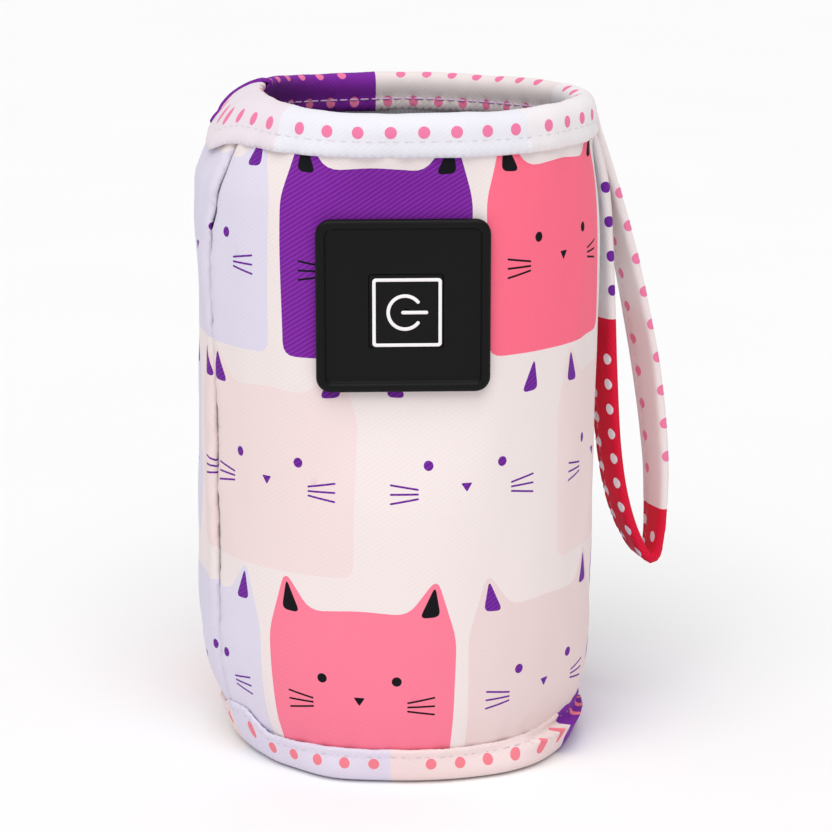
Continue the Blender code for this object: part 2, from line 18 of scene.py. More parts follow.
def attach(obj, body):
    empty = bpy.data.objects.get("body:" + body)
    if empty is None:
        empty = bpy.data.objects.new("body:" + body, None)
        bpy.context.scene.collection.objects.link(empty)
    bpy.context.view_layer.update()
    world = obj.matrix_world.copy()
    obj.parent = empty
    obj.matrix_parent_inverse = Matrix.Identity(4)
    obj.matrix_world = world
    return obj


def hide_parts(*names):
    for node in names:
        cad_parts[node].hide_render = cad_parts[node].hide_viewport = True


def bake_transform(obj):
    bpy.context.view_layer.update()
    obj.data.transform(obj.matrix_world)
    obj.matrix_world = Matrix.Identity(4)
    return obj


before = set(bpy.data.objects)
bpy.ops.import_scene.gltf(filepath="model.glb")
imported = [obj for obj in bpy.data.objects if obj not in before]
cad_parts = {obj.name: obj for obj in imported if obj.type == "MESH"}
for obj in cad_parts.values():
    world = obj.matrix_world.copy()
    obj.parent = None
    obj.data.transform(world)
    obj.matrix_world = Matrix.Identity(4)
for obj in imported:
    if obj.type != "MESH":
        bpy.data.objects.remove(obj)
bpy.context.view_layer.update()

MM = 0.001
ROUND = 45.0                       # radius at which s is measured
TURN = 2 * math.pi * ROUND

# ---------------------------------------------------------------- the wall

# Height, outer radius, how flat the front is, how far the left leans in at the rim.
KNOTS = np.array((
    (0.0, 39.6, 0.0, 0.0), (4.0, 40.6, 0.0, 0.0), (8.0, 41.9, 0.0, 0.0), (14.0, 43.5, 0.0, 0.0),
    (24.0, 44.6, 0.0, 0.0), (45.0, 45.1, 0.0, 0.0), (62.0, 45.1, 0.1, 0.0), (84.0, 45.1, 1.0, 0.0),
    (131.0, 44.8, 1.0, 0.04), (139.0, 44.0, 0.4, 0.3), (145.0, 43.4, 0.0, 0.63),
    (149.0, 43.2, 0.0, 1.0),
))
FLAT, SOFTEN = 41.0, 0.8           # how far forward the flat front is, and how softly it starts
LEAN, RISE, TUCK = 12.0, 1.5, 2.4  # at the left: in at the rim, up at the rim, in at the hem
SIDE_SEAM, BACK_SEAM = -66.0, 114.0  # degrees
PAD_Z, PAD_HALF, TRAY_HALF = 107.5, 18.5, 16.6
CLOTH_LOW, CLOTH_TOP = 1.3, 146.6
RIM_EDGE, HEM_EDGE = 139.8, 8.2


def ease(t):
    t = np.clip(t, 0.0, 1.0)
    return t * t * (3 - 2 * t)


def bump(x, centre, width):
    """A smooth bump of height 1; width is how far its sides reach."""
    return np.exp(-(((x - centre) / width) ** 2))


def curve_at(z, column):
    """A knot column at the heights z, on a smooth curve through the knots."""
    x, y = KNOTS[:, 0], KNOTS[:, column]
    slope = np.gradient(y, x)
    i = np.clip(np.searchsorted(x, z, side="right") - 1, 0, len(x) - 2)
    h = x[i + 1] - x[i]
    t = np.clip((z - x[i]) / h, 0.0, 1.0)
    return ((2 * t**3 - 3 * t**2 + 1) * y[i] + (t**3 - 2 * t**2 + t) * h * slope[i]
            + (3 * t**2 - 2 * t**3) * y[i + 1] + (t**3 - t**2) * h * slope[i + 1])


def wall(s, z, depth):
    """Points of the wall, in metres."""
    s, z, depth = np.broadcast_arrays(*(np.asarray(v, float) for v in (s, z, depth)))
    angle = s / ROUND
    left = np.maximum(0.0, -np.sin(angle)) ** 2
    full = curve_at(z, 1) - depth
    facing = np.maximum(np.cos(angle), 0.3)
    plane = (FLAT - depth) / facing
    least = 0.5 * (full + plane - np.hypot(full - plane, SOFTEN))
    flat = np.clip(curve_at(z, 2), 0.0, 1.0)
    r = np.where(np.cos(angle) > 0.3, full + flat * (least - full), full)
    r = r - LEAN * np.clip(curve_at(z, 3), 0.0, 1.0) * left - TUCK * left * np.maximum(0.0, 1 - z / 24)
    up = z + RISE * left * np.clip((z - 118) / 30, 0.0, 1.0)
    return np.stack((r * np.sin(angle), -r * np.cos(angle), up), axis=-1) * MM


def seam_s(angle, z):
    """Where a seam runs: it turns a little towards the front at the rim."""
    return (angle + 8 * ease((np.asarray(z, float) - 112) / 34)) * ROUND * math.pi / 180


random = np.random.RandomState(11)


def waves(count, shortest, longest, stretch=1.0):
    """A smooth uneven field over (s, z), about -1 to 1: a sum of waves of set lengths."""
    length = np.exp(random.uniform(math.log(shortest), math.log(longest), count))
    angle = random.uniform(0, math.pi, count)
    shift = random.uniform(0, 2 * math.pi, count)

    def field(s, z):
        total = 0.0
        for w, a, f in zip(length, angle, shift):
            total = total + np.sin((s * math.cos(a) + z * math.sin(a) / stretch) * 2 * math.pi / w + f)
        return total / math.sqrt(count)
    return field


SWELL = waves(12, 22, 60, 1.8)
CREASE = waves(14, 8, 18, 2.2)
PUCKER = waves(8, 4.5, 11, 30)
TAPE_SWELL = waves(8, 9, 30, 6)


def crease(s, z, start, end, width=0.8):
    """A fold between two places: a groove with a soft ridge above it, fading at its ends."""
    way = np.subtract(end, start)
    length = np.hypot(*way)
    t = ((s - start[0]) * way[0] + (z - start[1]) * way[1]) / length**2
    off = ((s - start[0]) * way[1] - (z - start[1]) * way[0]) / length
    fade = ease((t + 0.15) / 0.4) * ease((1.15 - t) / 0.4)
    return fade * (bump(off, 0, width) - 0.6 * bump(off, 1.8 * width, 1.2 * width))


# Start, end and depth of the folds that the cloth has taken.
CREASES = (((41.5, 15.5), (29.0, 9.4), 0.42), ((27.4, 12.4), (24.4, 8.8), 0.32), ((-49, 62), (-42, 54), 0.2))


def cloth_depth(s, z):
    """How the printed cloth lies: soft swells, puckers along its sewn edges, seams pulled in."""
    free = ease((z - 8) / 5) * ease((140 - z) / 5)
    side = ease((np.abs(s) - 34) / 14)
    depth = -free * (0.16 + 0.22 * side) * SWELL(s, z) - free * (0.05 + 0.12 * side) * CREASE(s, z)
    rim = np.exp(-np.maximum(0, RIM_EDGE - z) / 4.5) * ease((RIM_EDGE + 1.5 - z) / 2)
    hem = np.exp(-np.maximum(0, z - HEM_EDGE) / 4.0) * ease((z - HEM_EDGE + 1.5) / 2)
    depth = depth - 0.20 * (rim + hem) * PUCKER(s, z) + 0.25 * (rim + hem)
    for angle in (SIDE_SEAM, BACK_SEAM, SIDE_SEAM + 360):
        away = np.abs(s - seam_s(angle, z))
        depth = depth + 0.90 * bump(away, 0, 0.9) - 0.28 * bump(away, 3.0, 1.9)
        depth = depth - 0.19 * np.exp(-away / 5.0) * PUCKER(z + 40, s)
    for start, end, deep in CREASES:
        depth = depth + deep * crease(s, z, start, end)
    pad = ease((PAD_HALF + 4 - np.abs(s * 0.92)) / 4) * ease((PAD_HALF + 4 - np.abs(z - PAD_Z)) / 4)
    return depth * (1 - pad) + 0.05 * pad


# ---------------------------------------------------------------- materials

PALETTE = {
    "cream": "efe3e2", "white": "eeeff3", "blue_white": "e0e5ed", "lavender": "dfd9ea", "mist": "eae8f0",
    "sand": "ead5d4", "petal": "efdbda", "petal_light": "f1ebee", "mauve": "ebe0e7", "purple": "772496",
    "violet": "6a2390", "black": "121116", "pink": "f97f99", "pink_deep": "ff6f8a", "rose": "f07ea8",
    "coral": "f0828f", "red": "da1638",
}


def linear(hexa):
    values = [int(hexa[i:i + 2], 16) / 255 for i in (0, 2, 4)]
    return tuple(v / 12.92 if v <= 0.04045 else ((v + 0.055) / 1.055) ** 2.4 for v in values) + (1.0,)


class Nodes:
    """A material's node tree, with the links kept short."""

    def __init__(self, name, roughness=0.6, metallic=0.0, **sockets):
        self.mat = bpy.data.materials.get(name) or bpy.data.materials.new(name)
        self.mat.use_nodes = True
        self.tree = self.mat.node_tree
        self.shader = self.tree.nodes["Principled BSDF"]
        self.shader.inputs["Roughness"].default_value = roughness
        self.shader.inputs["Metallic"].default_value = metallic
        for key, value in sockets.items():
            self.shader.inputs[key.replace("_", " ")].default_value = value

    def put(self, kind, values=(), **settings):
        node = self.tree.nodes.new(kind)
        for key, value in settings.items():
            setattr(node, key, value)
        for key, value in dict(values).items():
            node.inputs[key].default_value = value
        return node

    def link(self, source, target):
        self.tree.links.new(source, target)

    def coordinates(self, turn=0.0, kind="UV"):
        source = self.put("ShaderNodeTexCoord").outputs[kind]
        mapping = self.put("ShaderNodeMapping", {"Rotation": (0, 0, turn)})
        self.link(source, mapping.inputs["Vector"])
        return mapping.outputs["Vector"]

    def feed(self, value, socket):
        """Gives a socket a number or a colour, or links another socket to it."""
        if isinstance(value, (int, float, tuple)):
            socket.default_value = value
        else:
            self.link(value, socket)

    def math(self, operation, a, b):
        node = self.put("ShaderNodeMath", operation=operation)
        self.feed(a, node.inputs[0])
        self.feed(b, node.inputs[1])
        return node.outputs[0]

    def noise(self, vector, scale, detail=2.0):
        node = self.put("ShaderNodeTexNoise", {"Scale": scale, "Detail": detail})
        self.link(vector, node.inputs["Vector"])
        return node.outputs["Fac"]

    def wave(self, vector, pitch, distort):
        """Bands one pitch apart, in metres: the wave texture has 20 / (2 pi) bands per unit of scale."""
        scale = 2 * math.pi / (20 * pitch)
        node = self.put("ShaderNodeTexWave", {"Scale": scale, "Distortion": distort, "Detail": 1.0},
                        bands_direction="X")
        self.link(vector, node.inputs["Vector"])
        return node.outputs["Fac"]

    def blend(self, factor, low, high):
        node = self.put("ShaderNodeMix", data_type="RGBA")
        self.link(factor, node.inputs["Factor"])
        for value, socket in zip((low, high), [x for x in node.inputs if x.type == "RGBA"]):
            self.feed(value, socket)
        return [x for x in node.outputs if x.type == "RGBA"][0]

    def spread(self, factor, low, high):
        node = self.put("ShaderNodeMapRange", {"To Min": low, "To Max": high})
        self.link(factor, node.inputs["Value"])
        return node.outputs["Result"]

    def finish(self, colour, roughness, height=None, distance=0.0002, strength=0.5):
        """Joins colour, roughness and bump to the shader and gives the material."""
        self.link(colour, self.shader.inputs["Base Color"])
        self.link(roughness, self.shader.inputs["Roughness"])
        if height is not None:
            bump = self.put("ShaderNodeBump", {"Distance": distance, "Strength": strength})
            self.link(height, bump.inputs["Height"])
            self.link(bump.outputs["Normal"], self.shader.inputs["Normal"])
        return self.mat


def shade(colour, factor):
    return tuple(min(1.0, c * factor) for c in colour[:3]) + (1.0,)


TWILL_PITCH = 0.00088
TWILL_ANGLE = math.radians(-122)
DARK, BLACK = 0.2, 0.02            # tones below which an ink counts as dark and as black


def printed(ink, kind="cloth"):
    """Twill polyester carrying one colour of the print; the tapes are woven finer."""
    name = kind + "_" + ink
    if name in bpy.data.materials:
        return bpy.data.materials[name]
    colour = linear(PALETTE[ink])
    tone = sum(colour[:3]) / 3
    dark, black = tone < DARK, tone < BLACK
    coarse = dark and kind == "cloth"
    n = Nodes(name, Specular_IOR_Level=0.12, Sheen_Weight=0.0 if black else 0.05, Sheen_Roughness=0.5)
    twill = n.wave(n.coordinates(turn=TWILL_ANGLE), TWILL_PITCH, 0.9)
    plain = n.coordinates()
    thread = n.noise(plain, 1700, 1.0)
    soft = n.noise(plain, 45, 2.0)
    if coarse and not black:
        deep, light = 0.62, 1.36
    elif dark:
        deep, light = 0.88, 1.12
    else:
        deep, light = (0.90, 1.09) if tone < 0.4 else (0.98, 1.01)
    body = n.blend(twill, shade(colour, deep), shade(colour, light))
    body = n.blend(n.spread(thread, 0.0, 0.3 if dark else 0.16), body, shade(colour, 1.7 if dark else 0.80))
    body = n.blend(n.spread(soft, 0.0, 0.12), body, shade(colour, 0.84))
    height = n.math("ADD", n.math("MULTIPLY", twill, 0.7), n.math("MULTIPLY", thread, 0.5))
    return n.finish(body, n.spread(thread, 0.72, 0.9), height, 0.0001 if coarse else 0.00004, 0.35)


def woven(name, hexa, pitch, contrast):
    """Plain-weave cloth: two thread directions over and under."""
    n = Nodes(name, Sheen_Weight=0.1)
    colour = linear(hexa)
    warp = n.wave(n.coordinates(), pitch, 0.3)
    weft = n.wave(n.coordinates(turn=math.pi / 2), pitch, 0.3)
    weave = n.math("MAXIMUM", warp, weft)
    soft = n.noise(n.coordinates(), 60, 3.0)
    body = n.blend(weave, shade(colour, 1 - contrast), shade(colour, 1 + contrast))
    body = n.blend(n.spread(soft, 0.0, 0.3), body, shade(colour, 0.75))
    return n.finish(body, n.spread(soft, 0.75, 0.92), weave)


def moulded(name, hexa, rough=(0.4, 0.5), grain=1500, depth=0.00002, metallic=0.0, variation=0.2, specular=0.5):
    """Moulded or machined parts: fine grain, a little unevenness of tone and gloss."""
    n = Nodes(name, metallic=metallic, Specular_IOR_Level=specular)
    colour = linear(hexa)
    where = n.coordinates(kind="Object")
    fine = n.noise(where, grain, 2.0)
    broad = n.noise(where, 90, 2.0)
    body = n.blend(broad, shade(colour, 1 - variation), shade(colour, 1 + variation))
    return n.finish(body, n.spread(broad, *rough), fine, depth, 0.4)


def foam(name, hexa):
    n = Nodes(name)
    colour = linear(hexa)
    where = n.coordinates(kind="Object")
    cells = n.put("ShaderNodeTexVoronoi", {"Scale": 1400.0})
    n.link(where, cells.inputs["Vector"])
    body = n.blend(cells.outputs["Distance"], shade(colour, 0.6), colour)
    return n.finish(body, n.spread(cells.outputs["Distance"], 0.8, 0.95), cells.outputs["Distance"], 0.0002)


# ---------------------------------------------------------------- shapes of the print

def catmull(points, closed, per=5):
    """A smooth curve through the points."""
    p = [np.array(q, float) for q in points]
    n = len(p)
    out = []
    for i in range(n if closed else n - 1):
        if closed:
            a, b, c, d = p[i - 1], p[i], p[(i + 1) % n], p[(i + 2) % n]
        else:
            b, c = p[i], p[i + 1]
            a = p[i - 1] if i else 2 * b - c
            d = p[i + 2] if i + 2 < n else 2 * c - b
        for k in range(per):
            t = k / per
            out.append(0.5 * (2 * b + (c - a) * t + (2 * a - 5 * b + 4 * c - d) * t * t
                              + (3 * b - a - 3 * c + d) * t**3))
    if not closed:
        out.append(p[-1])
    return out


def oval(x, z, rx, rz=None, turn=0.0, count=26):
    """An ellipse, or a circle without rz, turned by some degrees."""
    rz = rx if rz is None else rz
    c, s = math.cos(math.radians(turn)), math.sin(math.radians(turn))
    out = []
    for k in range(count):
        a = 2 * math.pi * k / count
        u, v = rx * math.cos(a), rz * math.sin(a)
        out.append((x + u * c - v * s, z + u * s + v * c))
    return out


def rounded(points, radius):
    """A polygon with its corners turned round."""
    steps = 4
    p = [np.array(q, float) for q in points]
    out = []
    for i, here in enumerate(p):
        before, after = p[i - 1], p[(i + 1) % len(p)]
        into, away = before - here, after - here
        r = min(radius, 0.45 * np.hypot(*into), 0.45 * np.hypot(*away))
        start, end = here + into / np.hypot(*into) * r, here + away / np.hypot(*away) * r
        for k in range(steps + 1):
            t = k / steps
            out.append((1 - t) ** 2 * start + 2 * t * (1 - t) * here + t * t * end)
    return out


def block(x0, z0, x1, z1, radius):
    return rounded(((x0, z0), (x1, z0), (x1, z1), (x0, z1)), radius)


def stroke(points, width, thin=0.75):
    """A brush line: thinner at its ends, which are round."""
    line = [np.array(q, float) for q in (catmull(points, False, 4) if len(points) > 2 else points)]
    n = len(line)
    ways = []
    for i in range(n):
        d = line[min(i + 1, n - 1)] - line[max(i - 1, 0)]
        ways.append(d / max(np.hypot(*d), 1e-6))
    half = [0.5 * width * (thin + (1 - thin) * math.sin(math.pi * i / (n - 1))) for i in range(n)]
    right = [q + h * np.array((w[1], -w[0])) for q, w, h in zip(line, ways, half)]
    left = [q + h * np.array((-w[1], w[0])) for q, w, h in zip(line, ways, half)]

    def cap(centre, way, h):
        base = math.atan2(way[1], way[0])
        return [centre + h * np.array((math.cos(base + a), math.sin(base + a)))
                for a in np.radians((-60, -30, 0, 30, 60))]
    return right + cap(line[-1], ways[-1], half[-1]) + left[::-1] + cap(line[0], -ways[0], half[0])


class Print:
    """The coloured shapes on a piece of cloth, the later ones over the earlier."""

    def __init__(self, ground):
        self.inks = [ground]
        self.shapes = []

    def add(self, ink, *shapes):
        for shape in shapes:
            self.shapes.append([(float(x), float(z)) for x, z in shape])
            self.inks.append(ink)

    def patch(self, ink, radius, *corners):
        self.add(ink, rounded(corners, radius))

    def block(self, ink, *values):
        self.add(ink, block(*values))

    def lines(self, ink, width, *lines):
        self.add(ink, *(stroke(line, width) for line in lines))

    def ovals(self, ink, *ovals):
        self.add(ink, *(oval(*values) for values in ovals))

    def head(self, ink, x0, x1, z0, z1, ear, inner=None, radius=3.0):
        """A cat's head: a block with an ear at each top corner."""
        w, h = ear
        self.patch(ink, radius, (x0, z0), (x1, z0), (x1 + 0.6, z1 - 6), (x1 - 0.38 * w, z1 + h), (x1 - w, z1),
                   ((x0 + x1) / 2, z1 + 0.8), (x0 + w, z1), (x0 + 0.38 * w, z1 + h), (x0 - 0.6, z1 - 6))
        if inner:
            for side, x in ((1, x0), (-1, x1)):
                self.patch(inner, 1.6, (x + side * 0.30 * w, z1 - 0.5), (x + side * 0.76 * w, z1 - 0.8),
                           (x + side * 0.42 * w, z1 + 0.78 * h))

    def cat(self, ink, line, x, z, wide, tall):
        """A plain cat from the pattern: a block with two ears, two dots, a nose and three whiskers a side."""
        self.head(ink, x - wide / 2, x + wide / 2, z, z + tall, (0.24 * wide, 0.2 * wide), line)
        level = z + 0.62 * tall
        for side in (-1, 1):
            self.ovals(line, (x + side * 0.2 * wide, level, 1.1))
            for lift in (-1, 0, 1):
                root, tip = x + side * 0.26 * wide, x + side * 0.4 * wide
                self.lines(line, 0.6, ((root, level - 6 + lift), (tip, level - 6 + 2 * lift)))
        self.patch(line, 0.4, (x - 1.3, level - 4), (x, level - 6), (x + 1.3, level - 4))

    def dots(self, ink, left, right, low, high, pitch=9.0):
        """Dots in staggered rows over a stretch of cloth."""
        for j, z in enumerate(np.arange(low, high, pitch)):
            for x in np.arange(left + (pitch / 2 if j % 2 else 0), right, pitch):
                self.ovals(ink, (x, z, 1.3))


# The pattern: rows of cats, each row shifted along, its colours taken in turn.
CAT_PITCH, CAT_WIDE, CAT_TALL, ROW_PITCH = 46.0, 42.0, 40.0, 48.0
ROWS = (
    (-10.0, ("pink", "sand", "purple", "blue_white", "pink", "lavender")),
    (14.0, ("cream", "petal", "blue_white", "cream", "lavender", "petal")),
    (-6.0, ("purple", "pink_deep", "blue_white", "pink", "purple", "lavender")),
)


def wall_print(first, last):
    """The cloth of a wall panel from place first to last; both panels are cut from the same pattern."""
    p = Print("cream")
    for row, (shift, inks) in enumerate(ROWS):
        for k in range(-2, 6):
            x = shift + k * CAT_PITCH
            if first - CAT_WIDE / 2 < x < last + CAT_WIDE / 2:
                ink = inks[k % len(inks)]
                dark = ink in ("purple", "pink", "pink_deep")
                p.cat(ink, "black" if dark else "violet", x, row * ROW_PITCH, CAT_WIDE, CAT_TALL)
    return p


def tape_print(start, length, inks, dot):
    """A tape cut across the pattern: stretches of plain colour with dots."""
    p = Print(inks[0])
    stretch = length / len(inks)
    for k, ink in enumerate(inks):
        left = start + k * stretch
        if k:
            p.block(ink, left, -4, left + stretch, 26, 0.8)
        p.dots(dot, left + 6, left + stretch - 3, 4.5, 19, 7.0)
    return p


# ---------------------------------------------------------------- pieces

@contextlib.contextmanager
def editing(obj):
    """The object's mesh opened for editing, and written back after."""
    bm = bmesh.new()
    bm.from_mesh(obj.data)
    yield bm
    bm.to_mesh(obj.data)
    bm.free()


def outward(obj):
    """Turns a closed mesh's faces outwards."""
    with editing(obj) as bm:
        bmesh.ops.recalc_face_normals(bm, faces=bm.faces)
    return obj


def piece(name, points, faces, materials, body, slot=None, sharp=None):
    """One visible object from points in metres, riding on a body."""
    mesh = bpy.data.meshes.new(name)
    mesh.from_pydata([tuple(p) for p in points], [], [tuple(f) for f in faces])
    for mat in materials:
        mesh.materials.append(mat)
    obj = bpy.data.objects.new(name, mesh)
    bpy.context.scene.collection.objects.link(obj)
    mesh.polygons.foreach_set("use_smooth", [True] * len(mesh.polygons))
    if sharp:
        mesh.set_sharp_from_angle(angle=math.radians(sharp))
    if body:
        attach(obj, body)
    return obj


def apply_modifiers(obj):
    graph = bpy.context.evaluated_depsgraph_get()
    mesh = bpy.data.meshes.new_from_object(obj.evaluated_get(graph))
    obj.modifiers.clear()
    old, obj.data = obj.data, mesh
    bpy.data.meshes.remove(old)


def loop_of(shape, longest):
    """A polygon turned anticlockwise, its long sides divided."""
    p = np.array(shape, float)
    after = np.roll(p, -1, axis=0)
    if np.sum(p[:, 0] * after[:, 1] - after[:, 0] * p[:, 1]) < 0:
        p = p[::-1]
    out = []
    for here, there in zip(p, np.roll(p, -1, axis=0)):
        parts = max(1, math.ceil(np.hypot(*(there - here)) / longest))
        out += [tuple(here + (there - here) * k / parts) for k in range(parts)]
    return out


def cut_cloth(outline, art, step, hole=None):
    """The flat cut as triangles: the outline and the print's shapes, with a grid of points between."""
    outline = loop_of(outline, min(step) * 1.2)
    low, high = np.min(outline, axis=0), np.max(outline, axis=0)
    points = [Vector(p) for p in outline]
    faces = [list(range(len(points)))]
    shapes = [loop_of(shape, min(step)) for shape in art.shapes + ([hole] if hole else [])]
    for shape in shapes:
        start = len(points)
        points += [Vector(p) for p in shape]
        faces.append(list(range(start, len(points))))
    columns = np.arange(low[0] + step[0] / 2, high[0], step[0])
    rows = np.arange(low[1] + step[1] / 2, high[1], step[1])
    for j, v in enumerate(rows):
        for u in columns:
            points.append(Vector((u + (step[0] / 2 if j % 2 else 0), v)))
    verts, _, tris, _, _, sources = delaunay_2d_cdt(points, [], faces, 1, 1e-4, True)
    flat = np.array([(v.x, v.y) for v in verts])
    kept, inks = [], []
    for tri, source in zip(tris, sources):
        if 0 not in source or (hole and len(shapes) in source) or len(tri) != 3:
            continue
        a, b, c = flat[list(tri)]
        area = (b[0] - a[0]) * (c[1] - a[1]) - (b[1] - a[1]) * (c[0] - a[0])
        if abs(area) < 1e-7:
            continue
        kept.append(tuple(tri) if area > 0 else tuple(tri)[::-1])
        inks.append(max(source))
    return flat, kept, inks


def cloth(name, outline, art, place, step=(2.0, 2.0), hole=None, thick=0.9, body="sleeve",
          slot="printed_cloth", turned=False):
    """A printed sheet: cut flat, then laid in space by place(u, v), which gives metres."""
    flat, tris, inks = cut_cloth(outline, art, step, hole)
    names = list(dict.fromkeys(art.inks))
    kind = "cloth" if slot == "printed_cloth" else "tape"
    mats = [printed(ink, kind) if isinstance(ink, str) else ink for ink in names]
    xyz = place(flat[:, 0], flat[:, 1])
    faces = [t[::-1] for t in tris] if turned else tris
    obj = piece(name, xyz, faces, mats, body, slot)
    mesh = obj.data
    mesh.polygons.foreach_set("material_index", [names.index(art.inks[k]) for k in inks])
    layer = mesh.uv_layers.new(name="UVMap")
    corner = np.empty(len(mesh.loops), np.int64)
    mesh.loops.foreach_get("vertex_index", corner)
    layer.data.foreach_set("uv", (flat[corner] * MM).ravel())
    with editing(obj) as bm:
        bmesh.ops.delete(bm, geom=[v for v in bm.verts if not v.link_faces], context="VERTS")
    if thick:
        solid = obj.modifiers.new("thickness", "SOLIDIFY")
        solid.thickness, solid.offset, solid.use_even_offset = thick * MM, -1.0, False
        solid.use_rim = True
        apply_modifiers(obj)
    return obj


def wall_outline(left, right):
    """The outline of a wall panel between two seams, with a narrow gap at each."""
    step, gap = 3.0, 0.25
    z = np.linspace(CLOTH_LOW, CLOTH_TOP, int((CLOTH_TOP - CLOTH_LOW) / step) + 1)
    up = [(float(seam_s(right, h)) - gap, h) for h in z]
    down = [(float(seam_s(left, h)) + gap, h) for h in z[::-1]]
    return up + down


def capsule_line(name, spots, length, radius, mat, body="sleeve"):
    """Stitches: one small capsule at each spot, given as centre, direction and outward normal."""
    rings = ((-0.5, 0.0), (-0.47, 0.55), (-0.36, 0.92), (0.0, 1.0), (0.36, 0.92), (0.47, 0.55), (0.5, 0.0))
    around = 7
    points, faces = [], []
    for centre, way, normal in spots:
        centre, way = np.array(centre, float), np.array(way, float)
        way /= np.linalg.norm(way)
        normal = np.array(normal, float) - way * np.dot(normal, way)
        normal /= np.linalg.norm(normal)
        side = np.cross(way, normal)
        first = len(points)
        for t, r in rings:
            bow = (0.25 - t * t) * 0.5 * radius
            count = 1 if r == 0.0 else around
            for k in range(count):
                a = 2 * math.pi * k / around
                points.append(centre + way * t * length + normal * (bow + r * radius * math.cos(a))
                              + side * r * radius * 1.25 * math.sin(a))
        last = len(points) - 1
        for k in range(around):
            k1 = (k + 1) % around
            faces.append((first, first + 1 + k, first + 1 + k1))
            for j in range(4):
                a, b = first + 1 + j * around, first + 1 + (j + 1) * around
                faces.append((a + k, b + k, b + k1, a + k1))
            a = first + 1 + 4 * around
            faces.append((a + k, last, a + k1))
    return outward(piece(name, points, faces, [mat], body))


def along(place, line, spacing, lift):
    """Spots every so often along a line of (u, v), lifted off the surface that place() gives."""
    line = np.array(line, float)
    run = np.concatenate(([0], np.cumsum(np.hypot(*np.diff(line, axis=0).T))))
    spots = []
    for d in np.arange(spacing / 2, run[-1], spacing):
        u, v = np.interp(d, run, line[:, 0]), np.interp(d, run, line[:, 1])
        du, dv = np.interp(d + 0.3, run, line[:, 0]) - u, np.interp(d + 0.3, run, line[:, 1]) - v
        p, q, r, t = place(np.array([u, u + 0.2, u, u + du]), np.array([v, v, v + 0.2, v + dv]))
        normal = np.cross(q - p, r - p)
        normal /= np.linalg.norm(normal)
        spots.append((p + normal * lift * MM, t - p, normal))
    return spots


# -- the printed wall

FRONT = cloth(
    "front_cloth", wall_outline(SIDE_SEAM, BACK_SEAM), wall_print(-52.0, 90.0),
    lambda s, z: wall(s, z, cloth_depth(s, z)),
    hole=block(-TRAY_HALF, PAD_Z - TRAY_HALF, TRAY_HALF, PAD_Z + TRAY_HALF, 1.5),
)
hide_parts("outer_front_panel")

BACK = cloth(
    "back_cloth", wall_outline(BACK_SEAM, SIDE_SEAM + 360), wall_print(90.0, 232.0),
    lambda s, z: wall(s, z, cloth_depth(s, z)),
)
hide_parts("outer_back_panel")

# -- the tape over the rim, in section: up the outside, over, and down the inside

RIM_LEG, RIM_ROUND, RIM_MID = 5.1, 3.1, 1.8
RIM_WIDE = 2 * RIM_LEG + math.pi * RIM_ROUND
RIM_MORE = 0.9                     # how much further each leg reaches
RIM_START, RIM_LAP = -88.0, 9.0
STITCH_WIDE = 0.75                 # the groove that a line of stitches pulls in
RIM_GROOVE, RIM_STITCHED, RIM_STITCHED_INSIDE = 3.2, 2.6, RIM_WIDE - 2.0
LUMP_S, STRAP_S = -59, math.radians(102.6) * ROUND


def rim_place(s, v):
    """v runs up the outside leg, over the rim and down the inside leg."""
    turn = np.clip((v - RIM_LEG) / RIM_ROUND, 0, math.pi)
    swell = TAPE_SWELL(s, v)
    radius = RIM_ROUND + 0.12 * swell
    z = (RIM_EDGE + np.minimum(v, RIM_LEG) + radius * np.sin(turn)
         - np.maximum(0, v - RIM_LEG - math.pi * RIM_ROUND))
    depth = RIM_MID - radius * np.cos(turn)
    outside = np.where(v < RIM_WIDE / 2, -1.0, 1.0)
    edge = np.minimum(v, RIM_WIDE - v) + RIM_MORE
    # outwards is less depth on the outside leg and more on the inside one
    puff = (0.10 * swell - 0.75 * (1 - ease(edge / 0.9)) - 0.34 * bump(edge, RIM_GROOVE, STITCH_WIDE)
            + 0.16 * np.exp(-edge / 3) * PUCKER(s, v))
    lap = ease((s - (RIM_START + TURN - 0.6)) / 0.8)
    # over the thick side seam the tape reaches lower and stands out
    lump = bump(s, LUMP_S, 8.5) * ease((RIM_LEG + 3 - v) / (RIM_LEG + 3))
    strap = np.exp(-(((s - STRAP_S) / 5.2) ** 4)) * (v < RIM_LEG + 5) * ease((RIM_LEG + 5 - v) / 8)
    depth = depth + outside * (puff + 0.85 * lap) - 1.5 * strap - 0.5 * lump
    z = z - 3.0 * lump
    z = z + 0.85 * lap * np.sin(turn) + 0.22 * np.sin(s / 7.0 + 1.0) * ease(edge / 8 + 0.3) * 0.6
    return wall(s, z, depth)


def strip(start, end, wide, step=4.0, low=0.0):
    """The outline of a tape cut straight across."""
    count = int((end - start) / step) + 1
    x = np.linspace(start, end, count)
    return [(u, low) for u in x] + [(u, wide) for u in x[::-1]]


RIM = cloth("rim_tape", strip(RIM_START, RIM_START + TURN + RIM_LAP, RIM_WIDE + RIM_MORE, low=-RIM_MORE),
            tape_print(RIM_START, TURN + RIM_LAP,
                       ("mauve", "mist", "petal_light", "cream", "purple"), "rose"), rim_place, step=(1.9, 0.8), thick=0.8, slot="binding_tape")
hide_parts("top_binding")

# -- the tape round the bottom edge: under the base and up the wall

HEM_UNDER, HEM_ROUND = 5.6, 2.2
HEM_WIDE = HEM_UNDER + HEM_ROUND * math.pi / 2 + HEM_EDGE - HEM_ROUND - 0.05
HEM_START, HEM_LAP = -100.0, 8.0
HEM_GROOVE = 1.9
TURNED_S = 22                      # where the hem's edge starts to lie folded down


